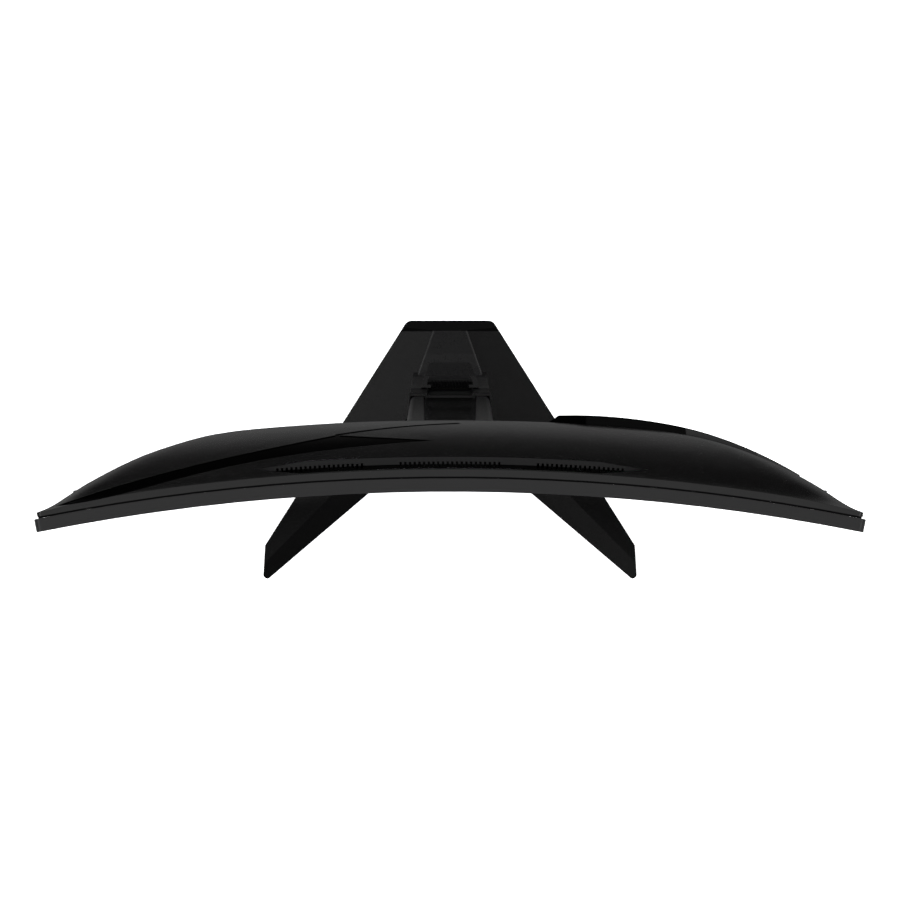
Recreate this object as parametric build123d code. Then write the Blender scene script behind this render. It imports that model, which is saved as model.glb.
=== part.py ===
from build123d import *
from math import asin, cos, degrees, sin, tanh
import os

# Curved 31.5-inch desktop monitor on a stand that tilts and lifts, standing on a V-shaped foot.
# Millimetres. X is to the viewer's right, Y to the rear, Z up. The origin is on the desk, under the
# middle of the whole object. Depths called t are measured behind the screen's front surface.

# ---------------------------------------------------------------- driving dimensions
# Head
HEAD_W = 709.0
HEAD_BOTTOM = 88.0
HEAD_TOP = 512.0
CURVE_R = 1800.0
FRONT_Y = -35.6
BEZEL_D = 11.5
GROOVE_D = 1.4
RIM_D = 4.5
RIM_T = BEZEL_D + GROOVE_D + RIM_D
RIM_W = HEAD_W - 4.0
FULL_T = 61.0
WALL = 2.6
CORNER_R = 5.0
MID_Z = (HEAD_BOTTOM + HEAD_TOP) / 2

# Front frame
BEZEL_LIP = 2.0
CHIN_H = 19.0

# Rear cover's slopes
TOP_SLOPE_H = 85.0
SIDE_FLAT = 165.0
SIDE_SLOPE_W = 180.0
LOW_T = 22.0
BULGE_LOW = 175.0
BULGE_RISE = 50.0
BLEND = 6.0
EASE = 0.85
EASE_END = 1.03

# Recess for the neck
POCKET_HALF_W = 64.0
POCKET_LOW = 236.0
POCKET_TOP = 366.0
CHANNEL_HALF_W = 50.0
CHANNEL_LOW = 150.0
POCKET_Y = -12.5

# Stand
LEAN = 8.0
NECK_FOOT_Y = 46.76
HINGE_OFF = 5.0
HINGE_UP = 303.0
HINGE_R = 4.0
SLEEVE_TOP = 243.0
SLEEVE_LOW = 88.0
SLEEVE_T = 24.0
SLEEVE_TOP_HALF = 37.5
SLEEVE_LOW_HALF = 33.7
SLIDER_LOW = 112.0
SLIDER_TOP = 283.0
SLIDER_HALF_W = 20.5
SLIDER_T = 13.0

# Base
BASE_REAR_Y = 110.3
BASE_TIP_Y = -110.3
BASE_LIFT = 1.2
PAD_H = 2.0

# VESA pattern
VESA = 100.0
VESA_HOLE_R = 2.0

NECK = Location((0, NECK_FOOT_Y, 0), (LEAN, 0, 0))
HINGE = NECK * Location((0, HINGE_OFF, HINGE_UP))
HINGE_Y = HINGE.position.Y
HINGE_Z = HINGE.position.Z
RAD = Location((0, HINGE_Y, HINGE_Z), (0, 90, 0))


# ---------------------------------------------------------------- helpers
def block(x, y, z):
    """A box between two limits on each axis."""
    size = [b - a for a, b in (x, y, z)]
    middle = [(a + b) / 2 for a, b in (x, y, z)]
    return Pos(*middle) * Box(*size)


def at(t, a):
    """Plan position at depth t behind the screen, at angle a off its middle."""
    r = CURVE_R + t
    return (r * sin(a), FRONT_Y - CURVE_R + r * cos(a))


def plan(x, t):
    """Plan position at depth t and sideways place x."""
    return at(t, asin(x / (CURVE_R + t)))


def arc_slab(t0, t1, width, z0, z1, corner=0.0):
    """A slab that follows the screen's curve, with radial ends and rounded corners."""
    a = asin(width / 2 / (CURVE_R + t1))
    near = ThreePointArc(at(t0, -a), at(t0, 0), at(t0, a))
    far = ThreePointArc(at(t1, a), at(t1, 0), at(t1, -a))
    ends = [Line(at(t0, a), at(t1, a)), Line(at(t1, -a), at(t0, -a))]
    slab = Pos(0, 0, z0) * extrude(make_face([near, ends[0], far, ends[1]]), z1 - z0)
    if corner:
        flat = [e for e in slab.edges().filter_by(GeomType.LINE) if abs(e.tangent_at(0.5).Z) < 0.1]
        slab = fillet(flat, corner)
    return slab


def spot(x, t, z):
    """A place on the curve whose local Y points straight back, away from the screen."""
    a = asin(x / (CURVE_R + t))
    px, py = at(t, a)
    return Location((px, py, z), (0, 0, -degrees(a)))


def rod(place, radius, length, start=0.0):
    """A cylinder along the place's local Y, from start to start + length."""
    turned = place * Location((0, start + length / 2, 0), (90, 0, 0))
    return turned * Cylinder(radius, length)


def upright(x, y, z0, z1, radius):
    """A vertical cylinder."""
    return Pos(x, y, (z0 + z1) / 2) * Cylinder(radius, z1 - z0)


def prism_z(points, z0, z1, corner=0.0):
    """A vertical prism on a plan outline."""
    face = make_face(Polyline(*points, close=True))
    if corner:
        face = fillet(face.vertices(), corner)
    return Pos(0, 0, z0) * extrude(face, z1 - z0)


def prism_x(points, half_width):
    """A prism on an outline in the Y-Z plane, spread equally to both sides."""
    outline = make_face(Polyline(*[(0, y, z) for y, z in points], close=True))
    return extrude(outline, half_width, dir=(1, 0, 0), both=True)


def prism_y(points, y0, y1):
    """A prism on an outline in the X-Z plane."""
    outline = make_face(Polyline(*[(x, y0, z) for x, z in points], close=True))
    return extrude(outline, y1 - y0, dir=(0, 1, 0))


def neck_block(x, y, z):
    """A box in the leaning neck's own frame."""
    return NECK * block(x, y, z)


def mirrored(part):
    """The part with its mirror image across the middle."""
    return [part, mirror(part, Plane.YZ)]


def save(node, shape):
    """Writes a node from a shape or a list of separate solids."""
    shapes = shape if isinstance(shape, (list, tuple)) else [shape]
    solids = [s for one in shapes for s in one.solids()]
    export_step(solids[0] if len(solids) == 1 else Compound(children=solids), f"parts/{node}.step")


# ---------------------------------------------------------------- rear surface
def rear_depth(x, z):
    """Depth of the rear cover's outside behind the screen: slopes blended, and eased out at the rim."""
    fall = FULL_T - RIM_T
    top = max(0.0, 1 - (HEAD_TOP - z) / TOP_SLOPE_H) ** 2
    side = max(0.0, (abs(x) - SIDE_FLAT) / SIDE_SLOPE_W) ** 2
    up = min(1.0, max(0.0, (z - BULGE_LOW) / BULGE_RISE))
    skirt = RIM_T + 1 + (LOW_T - RIM_T - 1) * min(1.0, (z - HEAD_BOTTOM) / (BULGE_LOW - HEAD_BOTTOM))
    low = (FULL_T - skirt) / fall * (1 - up * up * (3 - 2 * up))
    share = (top ** BLEND + side ** BLEND + low ** BLEND) ** (1 / BLEND)
    if share > EASE:
        share = EASE + (EASE_END - EASE) * tanh((share - EASE) / (EASE_END - EASE))
    return FULL_T - fall * share


def rear_point(x, z, inset):
    """A point of the rear surface, moved inset along its normal towards the screen."""
    def raw(px, pz):
        depth = rear_depth(px, pz)
        a = asin(px / (CURVE_R + 30))
        u, v = at(depth, a)
        return Vector(u, v, pz)

    step = 0.5
    across = raw(x + step, z) - raw(x - step, z)
    along = raw(x, z + step) - raw(x, z - step)
    normal = along.cross(across).normalized()
    return raw(x, z) - normal * inset


def rear_body(inset, front_t):
    """The solid between depth front_t and the rear surface moved in by inset."""
    xs = [-360 + 20 * i for i in range(37)]
    zs = [HEAD_BOTTOM - 8 + 10 * i for i in range(45)]
    grid = [[rear_point(x, z, inset) for x in xs] for z in zs]
    face = Face.make_surface_from_array_of_points(grid, 0.03, (1, 1, 1), 3, 5)
    mass = extrude(face, 150, dir=(0, -1, 0))
    low, high = HEAD_BOTTOM + 0.8 + inset, HEAD_TOP - 0.8 - inset
    wide = (RIM_W - 2 * inset) * (CURVE_R + 110) / (CURVE_R + RIM_T)
    return mass & arc_slab(front_t, 110, wide, low, high, CORNER_R - 1 - inset / 2)


# ---------------------------------------------------------------- head: front
def inside_width(t, gap):
    """Width that fits between the frame's radial ends at depth t, with a gap on each side."""
    return 2 * ((HEAD_W / 2 - BEZEL_LIP) * (CURVE_R + t) / (CURVE_R + BEZEL_D) - gap)


def front_bezel():
    """Thin frame round the screen, with a rabbet that the screen sits in and a deeper lower rail."""
    outer = arc_slab(0, BEZEL_D, HEAD_W, HEAD_BOTTOM, HEAD_TOP, CORNER_R)
    wide = inside_width(BEZEL_D + 1, 0)
    hole = arc_slab(-1, BEZEL_D + 1, wide, HEAD_BOTTOM + BEZEL_LIP, HEAD_TOP - BEZEL_LIP)
    return outer - hole - power_light(1.3, 1.0)


def power_light(radius=1.2, extra=0.0):
    """Light pipe in the lower edge of the front frame."""
    x, y = plan(300, 5.5)
    return upright(x, y, HEAD_BOTTOM + 0.1 - extra, HEAD_BOTTOM + 2.4 + extra, radius)


def chin():
    """Lower front strip that covers the light bar and the panel's lower edge."""
    z0 = HEAD_BOTTOM + BEZEL_LIP + 0.1
    strip = arc_slab(0.3, 3.2, inside_width(3.2, 0.15), z0, HEAD_BOTTOM + CHIN_H)
    badge = prism_z([(-27, FRONT_Y - 5), (27, FRONT_Y - 5), (27, FRONT_Y + 0.9), (-27, FRONT_Y + 0.9)],
                    z0 + 5, z0 + 11)
    return strip - badge


def stack(t0, t1, inset):
    """A sheet of the panel stack, set in from the frame by inset."""
    low = HEAD_BOTTOM + BEZEL_LIP + inset
    return arc_slab(t0, t1, inside_width(t1, inset), low, HEAD_TOP - BEZEL_LIP - inset)


def lcd_cell():
    """Curved glass, above the lower strip."""
    return arc_slab(1.0, 2.6, inside_width(2.6, 0.3), HEAD_BOTTOM + CHIN_H + 0.2, HEAD_TOP - BEZEL_LIP - 0.3)


def light_sheet(t0, t1):
    """A sheet of the light stack, above the row of lamps."""
    return arc_slab(t0, t1, inside_width(t1, 2.3), HEAD_BOTTOM + BEZEL_LIP + 5.0, HEAD_TOP - BEZEL_LIP - 2.2)


def backlight_chassis():
    """Pressed steel tray: back wall with stiffening grooves and posts, and a rim folded forward."""
    tray = stack(3.4, 11.4, 0.5) - stack(3.3, 10.4, 1.6)
    face = arc_slab(11.1, 11.5, HEAD_W, HEAD_BOTTOM, HEAD_TOP)
    for x in (-230, -120, 120, 230):
        tray -= block((x - 5, x + 5), (-80, 0), (HEAD_BOTTOM + 90, HEAD_TOP - 60)) & face
    for x, z in COVER_SCREWS:
        place, reach = spot(x, rear_depth(x, z), z), rear_depth(x, z) - 11.4
        tray += rod(place, 3.0, 2.6, -reach - 0.4) - rod(place, 1.4, 4, -reach)
    return tray


def mid_frame():
    """Ring between the bezel and the rear cover, set in so that a dark groove shows."""
    ring = arc_slab(BEZEL_D, BEZEL_D + GROOVE_D, RIM_W - 3, HEAD_BOTTOM + 2.3, HEAD_TOP - 2.3, 4)
    return ring - arc_slab(BEZEL_D - 1, BEZEL_D + GROOVE_D + 1, RIM_W - 27, HEAD_BOTTOM + 14, HEAD_TOP - 14)


def led_bar():
    """Light bar along the lower edge: board with a row of lamps facing up into the light guide."""
    low = HEAD_BOTTOM + BEZEL_LIP + 2.2
    board = arc_slab(4.6, 9.6, 660, low, low + 1.2)
    lamps = []
    for i in range(40):
        place = spot(-640 / 2 + 640 / 39 * i, 7.1, low + 1.75)
        lamps.append(place * Box(5.0, 2.6, 1.1))
    return board + lamps


# ---------------------------------------------------------------- head: rear cover and trim
VENT_HALF = 168.7
VENT_FLAT = 128.0
VENT_FRONT_T = 20.0
VENT_REAR_T = 30.5
VENT_TIP_T = 26.6
VENT_EDGE_T = 23.6
VENT_TOOTH = 2.2
VENT_PITCH = 4.0
VENT_GROUPS = [(-149, -73), (-44, 44), (73, 149)]


def vent_outline(grow=0.0):
    """Crescent in plan that the top air vent takes up."""
    back = VENT_REAR_T + grow
    front = VENT_FRONT_T - grow
    tip = VENT_HALF + grow * 3
    rear_arc = ThreePointArc(plan(-VENT_FLAT, back), plan(0, back), plan(VENT_FLAT, back))
    front_arc = ThreePointArc(plan(VENT_FLAT, front), plan(0, front), plan(-VENT_FLAT, front))
    tip_l, tip_r = plan(-tip, VENT_TIP_T), plan(tip, VENT_TIP_T)
    joins = [Line(plan(VENT_FLAT, back), tip_r), Line(tip_r, plan(VENT_FLAT, front)),
             Line(plan(-VENT_FLAT, front), tip_l), Line(tip_l, plan(-VENT_FLAT, back))]
    return make_face([rear_arc, joins[0], joins[1], front_arc, joins[2], joins[3]])


VENT_DECK_Z = HEAD_TOP - 22.0
VENT_LEDGE_Z = HEAD_TOP - 15.5


def vent_grille():
    """Slotted insert of the top vent: a deep front deck and a raised rear ledge with a toothed edge."""
    body = Pos(0, 0, VENT_DECK_Z) * extrude(vent_outline(-0.4), VENT_LEDGE_Z - VENT_DECK_Z)
    body -= arc_slab(0, VENT_EDGE_T, HEAD_W, VENT_DECK_Z + 1.6, HEAD_TOP)
    body -= arc_slab(27.6, 29.0, 2 * VENT_FLAT, VENT_DECK_Z - 1, VENT_LEDGE_Z - 1.6)
    for low, high in VENT_GROUPS:
        count = int((high - low) / VENT_PITCH)
        for i in range(count):
            place = spot(low + (high - low) * (i + 0.5) / count, VENT_EDGE_T, VENT_DECK_Z + 3)
            body -= place * Box(2.0, 2 * VENT_TOOTH, 12.0)
    return body


WEDGE_TOP = [(-336, 19.0), (-281, 27.3), (-225, 34.6), (-168.7, 41.4), (-97, 50.7)]
WEDGE_TIP = (-12.8, 43.9)
WEDGE_LOW = [(-110.8, 38.0), (-168.7, 33.2), (-225, 26.6), (-281, 19.6)]


def wedge_prism(grow=0.0):
    """Tapering blade in plan, left of the middle, cut upwards through the top slope."""
    start = plan(WEDGE_TOP[0][0] - grow * 20, WEDGE_TOP[0][1] - grow * 1.6)
    top = Spline(start, *[plan(x, t + grow) for x, t in WEDGE_TOP[1:]])
    tip = plan(WEDGE_TIP[0] + grow * 8, WEDGE_TIP[1])
    low = Spline(tip, *[plan(x, t - grow) for x, t in WEDGE_LOW], top @ 0)
    face = make_face([top, Line(top @ 1, tip), low])
    return Pos(0, 0, MID_Z + 40) * extrude(face, HEAD_TOP - MID_Z)


def seam_prism():
    """Panel line that carries on from the blade's upper corner to the middle."""
    x, t = WEDGE_TOP[-1]
    edge = Spline(plan(x - 1.5, t - 0.9), plan(-45, 55.0), plan(8, 57.8))
    back = Spline(plan(8, 58.7), plan(-45, 55.9), plan(x - 0.5, t + 0.7))
    face = make_face([edge, Line(edge @ 1, back @ 0), back, Line(back @ 1, edge @ 0)])
    return Pos(0, 0, MID_Z + 40) * extrude(face, HEAD_TOP - MID_Z)


FIN_PLAN = [(82.5, 60.0), (92.5, 67.3), (128.0, 69.0), (162.0, 68.4), (213.0, 63.6), (247.0, 56.2),
            (281.0, 45.4), (298.0, 38.6)]
FIN_FRONT = [(82.5, 250), (82.5, 402), (116, 424), (262, 424), (306, 372), (306, 318), (238, 250)]


FIN_GLOSS = [(60, 240), (60, 440), (204, 440), (164, 240)]
FIN_DULL = [(164.2, 240), (204.2, 440), (330, 440), (330, 240)]


def wing(cover_body):
    """Raised wing on one side of the back, standing on the cover: a gloss fin and a dull end."""
    ridge = Spline(*[plan(x, t) for x, t in FIN_PLAN[1:]])
    inner = Line(ridge @ 1, plan(298, 20))
    start = FIN_PLAN[0][0]
    floor = Line(plan(298, 20), plan(start, 20))
    rise = Polyline(plan(start, 20), plan(*FIN_PLAN[0]), plan(*FIN_PLAN[1]))
    face = make_face([ridge, inner, floor, *rise.edges()])
    body = Pos(0, 0, 200) * extrude(face, 260)
    body = (body & prism_y(FIN_FRONT, -70, 60)) - cover_body
    return body & prism_y(FIN_GLOSS, -70, 60), body & prism_y(FIN_DULL, -70, 60)


# Bays for sockets, open downwards and to the rear, each side of the neck.
BAY_TOP = 222.0
BAY_Y = -14.5
BAYS = {"signal": (-196.0, -84.0), "power": (84.0, 146.0)}
SOCKETS = {"hdmi_a": (-176.0, 15.2, 5.6), "hdmi_b": (-150.0, 15.2, 5.6),
           "displayport_a": (-124.0, 17.2, 5.8), "displayport_b": (-102.0, 17.2, 5.8)}
SOCKET_Y = 4.0
DC_X = 104.0
JACK_X = 128.0

# Keys at the rear, low on the viewer's right.
KEY_X = 300.0
POWER_Z = 110.0
MENU_Z = [127.0, 139.0, 151.0]
STICK_Z = 170.0
KEY_HALF_W = 9.0
KEY_HALF_H = 3.6
KEY_GAP = 0.4
KEY_PROUD = 1.3
KEY_TRAVEL = 0.8
FLANGE_LOW = 4.1
POWER_KEY_R = 6.0
STICK_HOLE_R = 7.4
STICK_DEEP = 4.2
BOARD_T = 12.9
LOCK_X = -256.0
LOCK_Z = 150.0
SPEAKER_X = 235.0
SPEAKER_Z = 121.0
HINGE_SCREWS = [(x, MID_Z + z) for x in (-30, 30) for z in (-30, 30)]
COVER_SCREWS = [(x, z) for x in (-318, 318) for z in (240, 440)] + [(-150, 112), (150, 112)]


def rear_cover(outer, inner):
    """Moulded back shell with rim, neck recess, socket bays, vents and holes for the controls."""
    shell = outer - inner
    # tubs: walls round each recess, kept inside the cover's own outline
    tubs = [block((-POCKET_HALF_W - WALL, POCKET_HALF_W + WALL), (POCKET_Y - WALL, 60),
                  (POCKET_LOW - WALL, POCKET_TOP + WALL)),
            block((-CHANNEL_HALF_W - WALL, CHANNEL_HALF_W + WALL), (POCKET_Y - WALL, 60),
                  (CHANNEL_LOW, POCKET_LOW))]
    wells = [block((-POCKET_HALF_W, POCKET_HALF_W), (POCKET_Y, 60), (POCKET_LOW, POCKET_TOP)),
             block((-CHANNEL_HALF_W, CHANNEL_HALF_W), (POCKET_Y, 60), (CHANNEL_LOW - 10, POCKET_LOW + 1))]
    for x0, x1 in BAYS.values():
        tubs.append(block((x0 - WALL, x1 + WALL), (BAY_Y - WALL, 60), (CHANNEL_LOW, BAY_TOP + WALL)))
        wells.append(block((x0, x1), (BAY_Y, 60), (CHANNEL_LOW - 10, BAY_TOP)))
    for tub in tubs:
        shell += tub & outer
    for well in wells:
        shell -= well
    # vents
    shell -= Pos(0, 0, VENT_DECK_Z - 3) * extrude(vent_outline(), 40)
    shell -= lower_vents()
    # openings in the bay ceilings
    for x, w, h in SOCKETS.values():
        shell -= block((x - w / 2 - 0.4, x + w / 2 + 0.4), (SOCKET_Y - h / 2 - 0.4, SOCKET_Y + h / 2 + 0.4),
                       (BAY_TOP - 1, BAY_TOP + WALL + 1))
    shell -= upright(DC_X, SOCKET_Y, BAY_TOP - 1, BAY_TOP + WALL + 1, 5.4)
    shell -= upright(JACK_X, SOCKET_Y, BAY_TOP - 1, BAY_TOP + WALL + 1, 3.9)
    # controls
    shell -= rod(key_place(POWER_Z), POWER_KEY_R + KEY_GAP, 20, -6)
    for z in MENU_Z:
        shell -= key_place(z) * Box(2 * (KEY_HALF_W + KEY_GAP), 20, 2 * (KEY_HALF_H + KEY_GAP))
    shell -= rod(key_place(STICK_Z), STICK_HOLE_R, 20, -6)
    # room behind the controls
    wide, high = KEY_HALF_W + 1.3, KEY_HALF_H + 1.3
    for z in MENU_Z:
        shell -= key_place(z) * block((-wide, wide), (-12, 0.4 - FLANGE_LOW + KEY_TRAVEL), (-high, high))
    shell -= rod(key_place(POWER_Z), POWER_KEY_R + 1.4, 9, -12)
    shell -= rod(key_place(STICK_Z), STICK_HOLE_R, 9.4, -12)
    shell -= spot(KEY_X, BOARD_T, (POWER_Z + STICK_Z) / 2) * Box(23, 3, STICK_Z - POWER_Z + 20)
    # lock slot, mounting holes, cover screws
    shell -= spot(LOCK_X, 20, LOCK_Z) * Box(7.2, 24, 3.2)
    for x in (-VESA / 2, VESA / 2):
        for z in (MID_Z - VESA / 2, MID_Z + VESA / 2):
            shell -= rod(Pos(x, POCKET_Y - 10, z), VESA_HOLE_R, 20)
    for x, z in HINGE_SCREWS:
        shell -= rod(Pos(x, POCKET_Y - 10, z), 2.2, 20)
    for x, z in COVER_SCREWS:
        shell -= rod(spot(x, rear_depth(x, z), z), 1.7, 30, -20)
        shell -= rod(spot(x, rear_depth(x, z), z), 4.2, 20, -1.5)
    return shell


def lower_vents():
    """Rows of slots low on the back, both sides of the neck, in front of the loudspeakers."""
    slots = []
    for side in (-1, 1):
        for row in range(3):
            for i in range(16):
                x = side * SPEAKER_X - 37.5 + 5 * i
                slots.append(spot(x, 20, SPEAKER_Z - 7 + 7 * row) * Box(2.2, 14, 5.0))
    return slots


def accent_wedge(outer_in, outer_deep):
    """Gloss trim blade let into the cover's top slope."""
    return (wedge_prism(-0.35) & outer_in) - outer_deep


def lock_plate():
    """Steel plate behind the security slot."""
    place = spot(LOCK_X, 15.0, LOCK_Z)
    return place * (Box(24, 1.6, 16) - Box(7.2, 5, 3.2))


def cover_screws():
    """Screws that hold the cover to the chassis."""
    screws = []
    for x, z in COVER_SCREWS:
        place = spot(x, rear_depth(x, z), z)
        length = rear_depth(x, z) - 11.5
        head = rod(place, 3.4, 1.3, -1.35)
        cross = place * Location((0, -0.1, 0)) * (Box(3.6, 1.2, 0.8) + Box(0.8, 1.2, 3.6))
        screws.append(head + rod(place, 1.4, length - 1.35, -length) - cross)
    return screws


# ---------------------------------------------------------------- head: inside
PLATE_Y = POCKET_Y - WALL - 0.1


def mount_plate():
    """Steel plate behind the neck recess that carries the head, with the four mounting threads."""
    plate = block((-62, 62), (PLATE_Y - 2, PLATE_Y), (MID_Z - 62, MID_Z + 62))
    for x in (-VESA / 2, VESA / 2):
        for z in (MID_Z - VESA / 2, MID_Z + VESA / 2):
            plate += rod(Pos(x, PLATE_Y - 5, z), 4.5, 4)
            plate -= rod(Pos(x, PLATE_Y - 6, z), VESA_HOLE_R, 10)
    for x, z in HINGE_SCREWS:
        plate -= rod(Pos(x, PLATE_Y - 6, z), 1.9, 10)
    return plate - block((-20, 20), (-40, 0), (MID_Z - 14, MID_Z + 14))


def board(x, z, y0, thick=1.6):
    """A circuit board with chips and capacitors on its rear side."""
    card = block(x, (y0, y0 + thick), z)
    x0, z0 = x[0], z[0]
    w, h = x[1] - x[0], z[1] - z[0]
    top = y0 + thick
    for u, v, size, tall in ((0.3, 0.6, 22, 3.2), (0.7, 0.72, 14, 2.2), (0.62, 0.25, 10, 2.0), (0.2, 0.2, 9, 1.8)):
        cx, cz = x0 + w * u, z0 + h * v
        card += block((cx - size / 2, cx + size / 2), (top, top + tall), (cz - size / 2, cz + size / 2))
    return card


def power_board():
    """Converter board with coils and capacitors."""
    card = board((84, 196), (238, 330), -19.0)
    for x, z, r, tall in ((100, 320, 4, 14), (112, 320, 4, 14), (182, 250, 6, 16), (182, 268, 6, 16)):
        card += rod(Pos(x, -17.5, z), r, tall)
    return card


def shield_can():
    """Pressed cover over the main board, open towards the screen."""
    can = block((-204, -78), (-12, 6), (230, 340)) - block((-203, -79), (-13, 5), (231, 339))
    for i in range(9):
        x = -190 + 12 * i
        can -= block((x, x + 5), (4, 7), (300, 330))
    return can - block((-186, -90), (-2, 10), (229, 238))


def socket_shell(x, w, h):
    """Metal shell of a data socket that faces down, with its tongue."""
    low, high = BAY_TOP - 0.8, 236.0
    shell = block((x - w / 2, x + w / 2), (SOCKET_Y - h / 2, SOCKET_Y + h / 2), (low, high))
    well = block((x - w / 2 + 0.5, x + w / 2 - 0.5), (SOCKET_Y - h / 2 + 0.5, SOCKET_Y + h / 2 - 0.5), (low - 1, 234))
    tongue = block((x - w / 2 + 2.5, x + w / 2 - 2.5), (SOCKET_Y - 0.7, SOCKET_Y + 0.5), (low + 2, 234.5))
    return shell - well + tongue


def round_socket(x, outer_r, bore_r, pin_r):
    """Barrel socket that faces down."""
    low, high = BAY_TOP - 0.8, 235.0
    barrel = upright(x, SOCKET_Y, low, high, outer_r) - upright(x, SOCKET_Y, low - 1, high - 2, bore_r)
    if pin_r:
        barrel += upright(x, SOCKET_Y, low + 2, high - 1, pin_r)
    return barrel


def io_bracket():
    """Steel plate round the data sockets."""
    plate = block((-188, -88), (-6, 10), (BAY_TOP + WALL + 0.1, BAY_TOP + WALL + 0.9))
    for x, w, h in SOCKETS.values():
        plate -= block((x - w / 2, x + w / 2), (SOCKET_Y - h / 2, SOCKET_Y + h / 2), (BAY_TOP, 240))
    return plate


def tcon_board():
    """Panel's timing board, high on the back of the chassis."""
    card = spot(0, 12.6, 452) * Box(180, 1.2, 26)
    for x in (-52, 0, 52):
        card += spot(x * 0.9, 13.7, 452) * Box(12, 1.4, 12)
    return card


def speaker(side):
    """Loudspeaker box low in the head, with its oval cone facing the slots."""
    place = spot(side * SPEAKER_X, 13.0, SPEAKER_Z)
    case = place * Box(88, 2.4, 34)
    cone = place * Location((0, 1.2, 0), (90, 0, 0)) * extrude(SlotOverall(60, 24), 1.2, both=True)
    return case - cone


def key_place(z):
    """Place on the rear surface where a control at height z comes through."""
    return spot(KEY_X, rear_depth(KEY_X, z), z)


def key_board():
    """Small board behind the keys with their switches."""
    low, high = POWER_Z - 7, STICK_Z + 10
    card = spot(KEY_X, BOARD_T - 0.5, (low + high) / 2) * Box(22, 1.0, high - low)
    for z in [POWER_Z] + MENU_Z:
        tall = rear_depth(KEY_X, z) - FLANGE_LOW - KEY_TRAVEL - 0.35 - BOARD_T
        card += rod(spot(KEY_X, BOARD_T, z), 2.2, tall)
    return card + rod(spot(KEY_X, BOARD_T, STICK_Z), 2.2, 1.8)


def menu_key(z):
    """Menu key: pad through the cover with a flange that keeps it in."""
    pad = block((-KEY_HALF_W, KEY_HALF_W), (-3.8, KEY_PROUD), (-KEY_HALF_H, KEY_HALF_H))
    pad = fillet(pad.faces().sort_by(Axis.Y)[-1].edges(), 0.6)
    wide, high = KEY_HALF_W + 0.9, KEY_HALF_H + 0.9
    return key_place(z) * (pad + block((-wide, wide), (-FLANGE_LOW, 0.8 - FLANGE_LOW), (-high, high)))


def power_key():
    """Round power button with a dished face."""
    place = key_place(POWER_Z)
    body = rod(place, POWER_KEY_R, KEY_PROUD + 3.8, -3.8) + rod(place, POWER_KEY_R + 1.0, 0.8, -FLANGE_LOW)
    return body - place * Location((0, KEY_PROUD + 29.4, 0)) * Sphere(30)


def stick_place():
    """Centre of the stick's two rocking axes."""
    return spot(KEY_X, rear_depth(KEY_X, STICK_Z) - STICK_DEEP, STICK_Z)


def stick_pins(inner, outer, radius, turn):
    """Pair of small pivot pins across the stick's centre."""
    pin = Pos((inner + outer) / 2, 0, 0) * Rot(0, 90, 0) * Cylinder(radius, outer - inner)
    facing = Pos(-(inner + outer) / 2, 0, 0) * Rot(0, 90, 0) * Cylinder(radius, outer - inner)
    return [stick_place() * Rot(0, turn, 0) * one for one in (pin, facing)]


def stick_housing():
    """Fixed cup on the key board that carries the stick's ring."""
    place = stick_place()
    reach = rear_depth(KEY_X, STICK_Z) - STICK_DEEP - BOARD_T - 0.05
    cup = rod(place, 7.0, reach + 0.8, -reach) - rod(place, 5.6, 20, -10)
    return cup - stick_pins(5.0, 8.0, 0.56, 0)


def stick_ring():
    """Ring that rocks up and down."""
    place = stick_place()
    ring = rod(place, 5.2, 1.6, -0.8) - rod(place, 3.6, 4, -2)
    ring += stick_pins(5.0, 6.6, 0.5, 0)
    return ring - stick_pins(3.0, 5.6, 0.56, 90)


def stick_spindle():
    """Sleeve that rocks sideways in the ring and lets the cap be pressed."""
    place = stick_place()
    return rod(place, 3.1, 1.8, -0.9) + stick_pins(2.9, 4.7, 0.5, 90) - rod(place, 1.5, 20, -10)


def stick_cap():
    """Dished cap on its stem."""
    place = stick_place()
    crown = rod(place, 5.6, 3.2, 5.8)
    crown = fillet(crown.edges().filter_by(GeomType.CIRCLE), 1.0)
    return crown + rod(place, 1.2, 7.6, -1.4) - place * Location((0, 9.0 + 11.4, 0)) * Sphere(12.2)


# ---------------------------------------------------------------- hinge and neck
EAR_X = (17.0, 20.4)
HEAD_HALF_X = 14.7
BRACKET_T = 2.6
BRACKET_HALF = 38.0


def tilt_bracket():
    """Quick-fit plate on the recess floor, with two ears that reach back to the hinge shaft."""
    y0 = POCKET_Y
    plate = block((-BRACKET_HALF, BRACKET_HALF), (y0, y0 + BRACKET_T), (MID_Z - BRACKET_HALF, MID_Z + BRACKET_HALF))
    corners = plate.edges().filter_by(Axis.Y)
    plate = fillet(corners, 5)
    for x0, x1 in ((-EAR_X[1], -EAR_X[0]), EAR_X):
        ear = block((x0, x1), (y0 + BRACKET_T - 0.5, HINGE_Y), (HINGE_Z - 10, HINGE_Z + 10))
        nose = Location(((x0 + x1) / 2, HINGE_Y, HINGE_Z), (0, 90, 0)) * Cylinder(10, x1 - x0)
        plate += ear + nose
    plate -= RAD * Cylinder(HINGE_R + 0.06, 60)
    for x, z in HINGE_SCREWS:
        plate -= rod(Pos(x, y0 - 5, z), 2.2, 12)
    return plate - block((-8.4, 8.4), (y0 - 1, y0 + 5), (MID_Z - 36, MID_Z - 23))


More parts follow.
